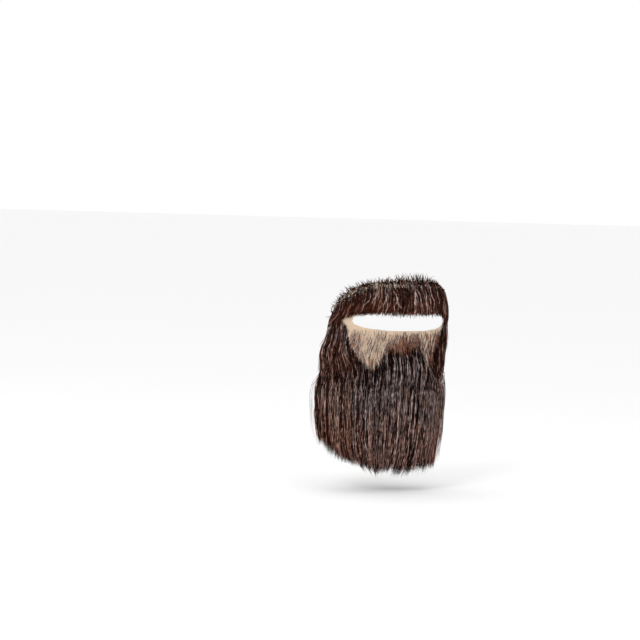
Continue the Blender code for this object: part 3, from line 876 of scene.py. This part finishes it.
# The mass and the mat inside the chin hair, with how many points and rings each is made of
MASS_TOP = -20.0 * MM
MASS_LOW = -41.0 * MM
MASS_INSET = 7.0 * MM
MASS_TAPER = 9.0 * MM
MASS_COLUMNS = 21
MASS_RINGS = 12
MAT_TOP = 61.0 * MM
MAT_LOW = 92.0 * MM
MAT_MARGIN = 2.0 * MM
MAT_OUT = 1.2 * MM
MAT_THICKNESS = 1.0 * MM
MAT_COLUMNS = 25
MAT_RINGS = 16


def closed_rings(name, rings, material):
    """A closed form through rings of points, with a cap at each end."""
    columns = len(rings[0])
    ring = np.arange(columns)
    beside = (ring + 1) % columns
    starts = columns * np.arange(len(rings))
    quads = [
        np.stack([low + ring, low + beside, high + beside, high + ring], 1)
        for low, high in zip(starts[:-1], starts[1:])
    ]
    loops = np.concatenate([np.concatenate(quads).ravel(), ring[::-1], starts[-1] + ring])
    counts = np.append(np.full(columns * (len(rings) - 1), 4), [columns, columns])
    piece = new_mesh_object(name, np.concatenate(rings), loops, counts)
    piece.data.materials.append(material)
    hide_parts("chin_beard_hair")
    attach(piece, "root")


def undercoat(material):
    """The dense hair inside the chin beard: a mass below the chin, and a mat against the lace."""
    half = np.linspace(-math.pi / 2, math.pi / 2, MASS_COLUMNS)
    rings = []
    for z in np.linspace(MASS_TOP, MASS_LOW, MASS_RINGS):
        ends = 1 - ramp(-z, 18 * MM, 29 * MM) + ramp(-z, 35 * MM, 43 * MM)
        inset = np.full(MASS_COLUMNS, MASS_INSET + MASS_TAPER * ends)
        front = hang_points(half, np.full(MASS_COLUMNS, z), False, inset)
        back = hang_points(half[::-1][1:-1], np.full(MASS_COLUMNS - 2, z), True, inset[2:])
        rings.append(np.concatenate([front, back]))
    closed_rings("chin_undercoat", rings, material)

    rings = []
    for down in np.linspace(MAT_TOP, MAT_LOW, MAT_RINGS):
        reach = edge_side(down) - MAT_MARGIN
        across = np.linspace(-reach, reach, MAT_COLUMNS)
        low = face_points(across, np.full(MAT_COLUMNS, down), MAT_OUT)
        high = face_points(across[::-1], np.full(MAT_COLUMNS, down), MAT_OUT + MAT_THICKNESS)
        rings.append(np.concatenate([low, high]))
    closed_rings("chin_mat", rings, material)


# Stage, light and camera


def view_axes():
    azimuth, elevation = math.radians(VIEW_AZIMUTH), math.radians(VIEW_ELEVATION)
    right = Vector((math.cos(azimuth), math.sin(azimuth), 0.0))
    level = math.cos(elevation)
    ahead = Vector((-math.sin(azimuth) * level, math.cos(azimuth) * level, -math.sin(elevation)))
    return right, right.cross(ahead), ahead


def camera():
    """The camera stands off the chin point, and turns so that the point falls on its pixel."""
    right, up, ahead = view_axes()
    roll = Matrix.Rotation(math.radians(VIEW_ROLL), 3, -ahead)
    right, up = roll @ right, roll @ up
    stand = -ahead * VIEW_DISTANCE
    middle = VIEW_PIXELS / 2
    aim = right * (middle - CHIN_PIXEL[0]) * PIXEL_SIZE + up * (CHIN_PIXEL[1] - middle) * PIXEL_SIZE
    ahead = (aim - stand).normalized()
    right = (right - ahead * right.dot(ahead)).normalized()
    up = right.cross(ahead)
    data = bpy.data.cameras.new("camera")
    data.sensor_width = SENSOR_WIDTH
    data.lens = SENSOR_WIDTH * VIEW_DISTANCE / (VIEW_PIXELS * PIXEL_SIZE)
    made = bpy.data.objects.new("camera", data)
    made.matrix_world = Matrix.Translation(stand) @ Matrix((right, up, -ahead)).transposed().to_4x4()
    bpy.context.scene.collection.objects.link(made)
    bpy.context.scene.camera = made


def soft_light(name, place, size, power):
    data = bpy.data.lights.new(name, "AREA")
    data.size = size
    data.energy = power
    made = bpy.data.objects.new(name, data)
    made.location = place
    made.rotation_euler = (Vector(LAMP_AIM) - Vector(place)).to_track_quat("-Z", "Y").to_euler()
    bpy.context.scene.collection.objects.link(made)


def stage():
    bpy.context.scene.view_settings.view_transform = "Standard"
    world = bpy.data.worlds.new("studio")
    world.use_nodes = True
    background = world.node_tree.nodes["Background"]
    background.inputs["Color"].default_value = (1.0, 1.0, 1.0, 1.0)
    background.inputs["Strength"].default_value = 1.0
    bpy.context.scene.world = world
    right, _, ahead = view_axes()
    for lamp in LAMPS:
        place = -ahead * lamp.near + right * lamp.right + Vector((0, 0, lamp.up))
        soft_light(lamp.name, place, lamp.size, lamp.power)
    half = FLOOR_HALF_WIDTH
    corners = [(half * x, half * y, FLOOR) for x, y in ((-1, -1), (1, -1), (1, 1), (-1, 1))]
    floor = new_mesh_object("floor", corners, [0, 1, 2, 3], [4])
    made, _, _, shader = material_named("floor_white")
    shader.inputs["Base Color"].default_value = (0.93, 0.93, 0.93, 1.0)
    shader.inputs["Roughness"].default_value = 0.9
    floor.data.materials.append(made)


def shades(layer, warm):
    """Shades for a layer's hairs: a share of them is light, partly painted sheen, a share is warm, and the
    rest is dark.
    """
    count = layer.count
    light = rng.random(count) < layer.light
    tone = np.where(light, vary(0.55, 0.98, count), vary(0.02, layer.dark_top, count))
    return 0.5 * tone + 0.5 * (rng.random(count) < warm)


def brown_shades(count, low, high):
    """Shades of the thin hairs that let the lace show: none is as dark as the dense hair."""
    return 0.5 + 0.5 * vary(low, high, count)


# More warm hairs to the sides: the cooler greyer middle is painted sheen, the warm sides painted light
# through thin hair
def side_warmth_middle_sheen(across):
    return 0.12 + 0.7 * ramp(np.abs(across), 14 * MM, 36 * MM)


def widths(low, high, count):
    return vary(low, high, count) * MM


def layer_named(name):
    return next(row for row in (*LAYERS, *SHORT_LAYERS) if row.name == name)


def grow(name, layer, across, paths, node, hair):
    """Makes the hairs of a layer, with the layer's thickness and shades."""
    width = widths(*layer.thickness, layer.count)
    warm = side_warmth_middle_sheen(across) if layer.warm is None else layer.warm
    strands(name, paths, width, shades(layer, warm), node, hair)


def grow_short(name, layer, across, down, node, hair):
    """Makes the short hairs of a layer."""
    count = layer.count
    paths = short_paths(across, down, layer, widths(*layer.length, count), widths(*layer.rise, count))
    width = widths(*layer.thickness, count)
    strands(name, paths, width, brown_shades(count, *layer.shade), node, hair)


def build_moustache(hair, knot):
    node, slot = "moustache_hair", "moustache"

    def end_thinning(across):
        return 1 - 0.35 * ramp(-across, 34 * MM, 44 * MM)

    def deep(across, down):
        dense = ramp(below_top(across, down), 2.5 * MM, 8 * MM) * end_thinning(across)
        return dense * (down < LIP_LOW * MM)

    def upper(across, down):
        part = below_top(across, down)
        dense = (0.30 + 0.70 * ramp(part, 0.5 * MM, 5.0 * MM)) * end_thinning(across)
        return dense * (part < 10 * MM) * (down < LIP_LOW * MM)

    def topmost(across, down):
        return (below_top(across, down) < 3.0 * MM) * (down < 26 * MM)

    layer = layer_named("moustache_deep")
    across, down = roots_where(layer, deep)
    grow("moustache_deep_strands", layer, across, moustache_paths(across, down, layer), node, hair)

    layer = layer_named("moustache_top")
    across, down = roots_where(layer, upper)
    grow("moustache_top_strands", layer, across, moustache_paths(across, down, layer), node, hair)
    knots("moustache_knots", across, down, widths(0.20, 0.40, layer.count), node, slot, knot)

    layer = layer_named("moustache_spike")
    across, down = roots_where(layer, topmost)
    length, lift = widths(1.2, 4.2, layer.count), widths(0.3, 2.2, layer.count)
    grow("moustache_spikes", layer, across, spike_paths(across, down, layer, length, lift), node, hair)

    layer = layer_named("moustache_stray")
    across, down = roots_where(layer, upper)
    paths = moustache_paths(across, down, layer, 1.2)
    # The strays take pale grey tones next to the lightest cool one, partly painted sheen
    width, shade = widths(*layer.thickness, layer.count), 0.5 * vary(0.9, 0.99, layer.count)
    strands("moustache_stray_strands", paths, width, shade, node, hair)


def build_side(name, sign, node, hair):
    def wanted(across, down):
        inner, outer = side_edges(sign, down)
        return (across > inner) & (across < outer)

    for depth, inset in (("deep", (1.0, 3.2)), ("top", (-0.2, 1.3))):
        layer = layer_named("side_" + depth)
        across, down = roots_where(layer, wanted)
        paths = side_paths(sign, across, down, layer, widths(*inset, layer.count))
        grow(f"{name}_{depth}_strands", layer, across, paths, node, hair)


def build_lip(hair, knot):
    node, slot = "lip_patch_hair", "lip_patch"

    def tuft(across, down):
        return np.exp(-((across / (6.5 * MM)) ** 2)) * (0.2 + 0.8 * ramp(down, 31 * MM, 42 * MM))

    def sparse(across, down):
        margin = dense_edge(across) - down
        return (0.36 + 0.64 * (1 - ramp(margin, -2 * MM, 14 * MM))) * (margin > -8 * MM)

    layer = layer_named("patch")
    across, down = roots_where(layer, tuft)
    grow_short("lip_patch_strands", layer, across, down, node, hair)

    layer = layer_named("sparse")
    across, down = roots_where(layer, sparse)
    grow_short("lip_sparse_strands", layer, across, down, node, hair)
    knots("lip_knots", across, down, widths(0.13, 0.24, layer.count), node, slot, knot)


def build_chin(hair):
    node, slot = "chin_beard_hair", "chin"

    def from_edge(across, down):
        beside = 53 * MM * ramp(np.abs(across), 20 * MM, 27 * MM)
        return down - np.maximum(dense_edge(across), beside)

    def upper(across, down):
        part = from_edge(across, down)
        fuller = 0.6 + 0.4 * np.exp(-(((across + 14 * MM) / (5 * MM)) ** 2))
        return fuller * ramp(part, -4 * MM, 3 * MM) * (part < 13 * MM)

    def deep(across, down):
        return from_edge(across, down) > 8 * MM

    def below(across, down):
        return (down > 72 * MM) * 1.0

    def between(across, down):
        return np.abs(across) < 40 * MM

    layer = layer_named("chin_deep")
    across, down = roots_where(layer, deep)
    depth = ramp(from_edge(across, down), 4 * MM, 24 * MM) * vary(0.5, 1.0, layer.count)
    inset = column(1.4 * MM + 5.5 * MM * depth)
    paths = chin_front_paths(across, down, layer, wavelength=14 * MM, inset=inset)
    grow("chin_deep_strands", layer, across, paths, node, hair)

    layer = layer_named("chin_front")
    for k in (1, 2):
        across, down = roots_where(layer, upper)
        inset = column(widths(0.1, 1.5, layer.count))
        paths = chin_front_paths(across, down, layer, wavelength=10 * MM, inset=inset)
        grow(f"chin_front_strands_{k}", layer, across, paths, node, hair)

    # Light hairs on the front of the chin, whose pale tones are partly painted sheen
    layer = layer_named("chin_pale_and_sheen")
    across, down = roots_where(layer, upper)
    swings = stations_of(layer.stations) * column(vary(1.6, 3.4, layer.count))
    swings = swings + column(vary(0, 1, layer.count))
    dips = 0.62 * MM + 0.75 * MM * np.sin(2 * math.pi * swings)
    paths = chin_front_paths(across, down, layer, wavelength=6.5 * MM, inset=dips)
    grow("chin_pale_and_sheen_strands", layer, across, paths, node, hair)

    layer = layer_named("chin_stray")
    across, down = roots_where(layer, upper)
    off_form = widths(0.3, 2.4, layer.count) + 1.4 * MM * ramp(-across, 15 * MM, 38 * MM)
    paths = chin_front_paths(across, down, layer, wavelength=16 * MM, inset=-column(off_form))
    grow("chin_stray_strands", layer, across, paths, node, hair)

    layer = layer_named("chin_back")
    across, down = roots_where(layer, below)
    paths = chin_back_paths(across, down, layer, widths(0.2, 6.0, layer.count))
    grow("chin_back_strands", layer, across, paths, node, hair)

    layer = layer_named("chin_inner")
    across, down = roots_where(layer, between)
    grow("chin_inner_strands", layer, across, chin_inner_paths(across, down, layer), node, hair)


def main():
    camera()
    stage()
    lace_net(net_material())
    undercoat(undercoat_material())
    hair, knot = hair_material("hair_brown", COOL_TONES, WARM_TONES), knot_material()
    thin_hair = hair_material("hair_thin_brown", THIN_TONES, THIN_TONES)
    build_moustache(hair, knot)
    build_side("right_side", -1, "side_hair_right", hair)
    build_side("left_side", 1, "side_hair_left", hair)
    build_lip(thin_hair, knot)
    build_chin(hair)


main()
